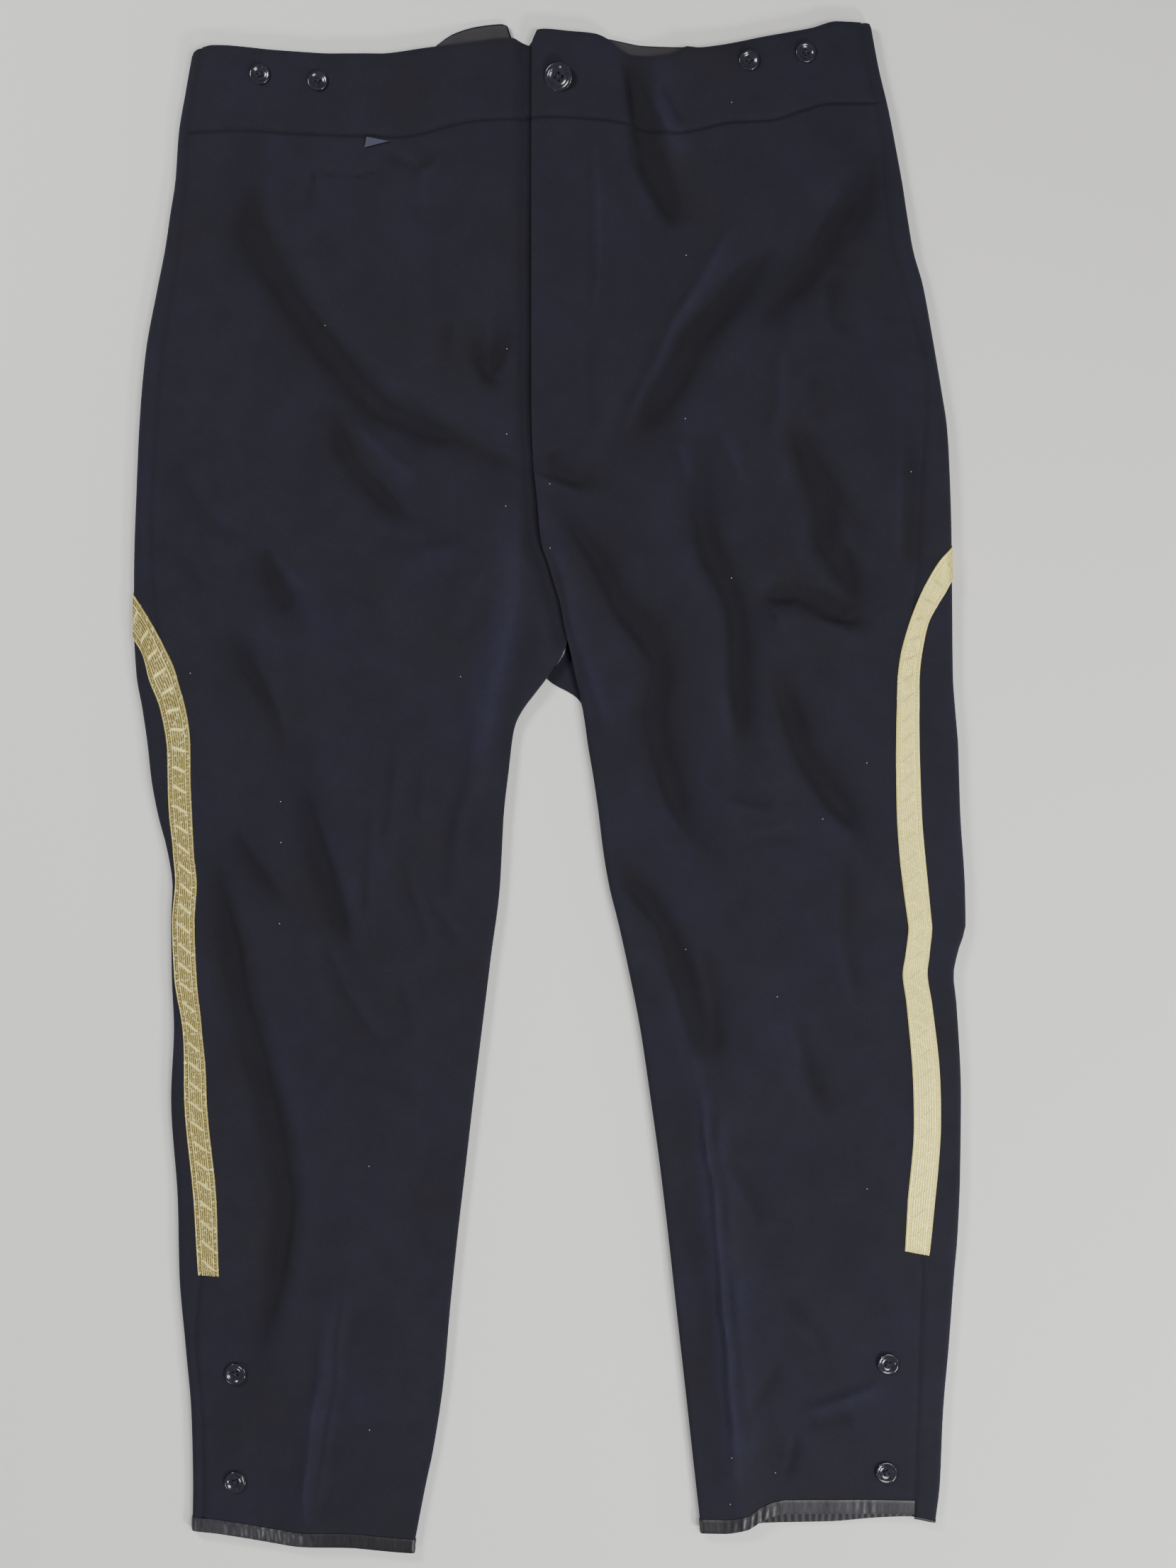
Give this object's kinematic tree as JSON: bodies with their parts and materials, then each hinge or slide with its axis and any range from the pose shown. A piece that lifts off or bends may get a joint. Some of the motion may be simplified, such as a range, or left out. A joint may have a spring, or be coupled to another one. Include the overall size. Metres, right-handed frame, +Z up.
{
  "type": "riding trousers",
  "caption": "Dark navy wool riding trousers with gold side lace, braces and leg buttons and satin bound hems, laid flat on their back.",
  "frame": {"origin": "middle of the garment's outline, on the surface that it lies on", "axes": "+Y towards the waist, +X towards the wearer's left leg, +Z up from the surface through the front"},
  "size_m": [0.5558, 1.018, 0.0136],
  "materials": {
    "wool_cloth": "milled wool, matt",
    "band_lining": "cotton twill, matt",
    "gold_lace": "woven metal thread, bright",
    "hem_ribbon": "satin ribbon, shiny",
    "button": "polished",
    "pocket_cloth": "cotton, matt"
  },
  "bodies": {
    "root": {"front_right": "wool_cloth", "front_left": "wool_cloth", "back_right": "wool_cloth", "back_left": "wool_cloth", "waistband_front_right": "wool_cloth", "waistband_front_left": "wool_cloth", "waistband_back_right": "wool_cloth", "waistband_back_left": "wool_cloth", "fly_button_stand": "wool_cloth", "waistband_lining_right": "band_lining", "waistband_lining_left": "band_lining", "side_lace_right": "gold_lace", "side_lace_left": "gold_lace", "hem_ribbon_right": "hem_ribbon", "hem_ribbon_left": "hem_ribbon", "hem_ribbon_left_back": "hem_ribbon", "waist_button": "button", "brace_button_right_1": "button", "brace_button_right_2": "button", "brace_button_left_1": "button", "brace_button_left_2": "button", "leg_button_right_1": "button", "leg_button_right_2": "button", "leg_button_left_1": "button", "leg_button_left_2": "button", "watch_pocket_corner": "pocket_cloth"}
  },
  "joints": []
}
